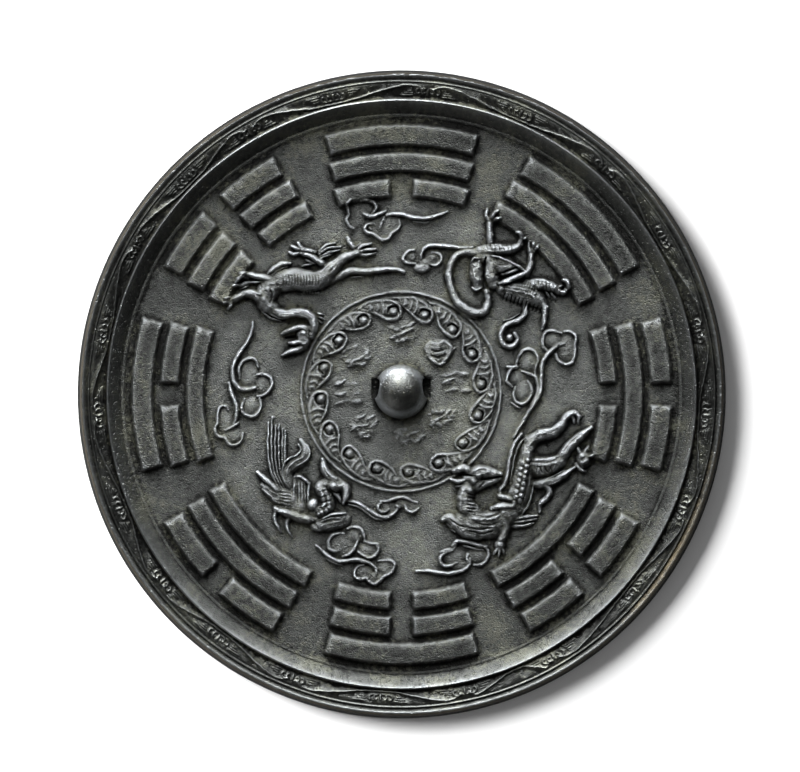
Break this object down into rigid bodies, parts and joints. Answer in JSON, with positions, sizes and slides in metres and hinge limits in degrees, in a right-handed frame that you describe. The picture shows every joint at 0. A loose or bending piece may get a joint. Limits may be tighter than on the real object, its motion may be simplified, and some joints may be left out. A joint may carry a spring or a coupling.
{
  "type": "bronze mirror",
  "caption": "Round cast bronze mirror lying decorated side up, with a pierced knob, a ring of petals, animals among clouds, groups of bars and a raised rim.",
  "frame": {"origin": "centre of the flat reflecting face, which is the underside", "axes": "+Z out of the decorated back, +Y towards the trigram with two solid lines over a broken one"},
  "size_m": [0.22, 0.22, 0.0128],
  "materials": {
    "bronze": "dark, worn patina on cast high-tin bronze"
  },
  "bodies": {
    "root": {"mirror": "bronze"}
  },
  "joints": []
}
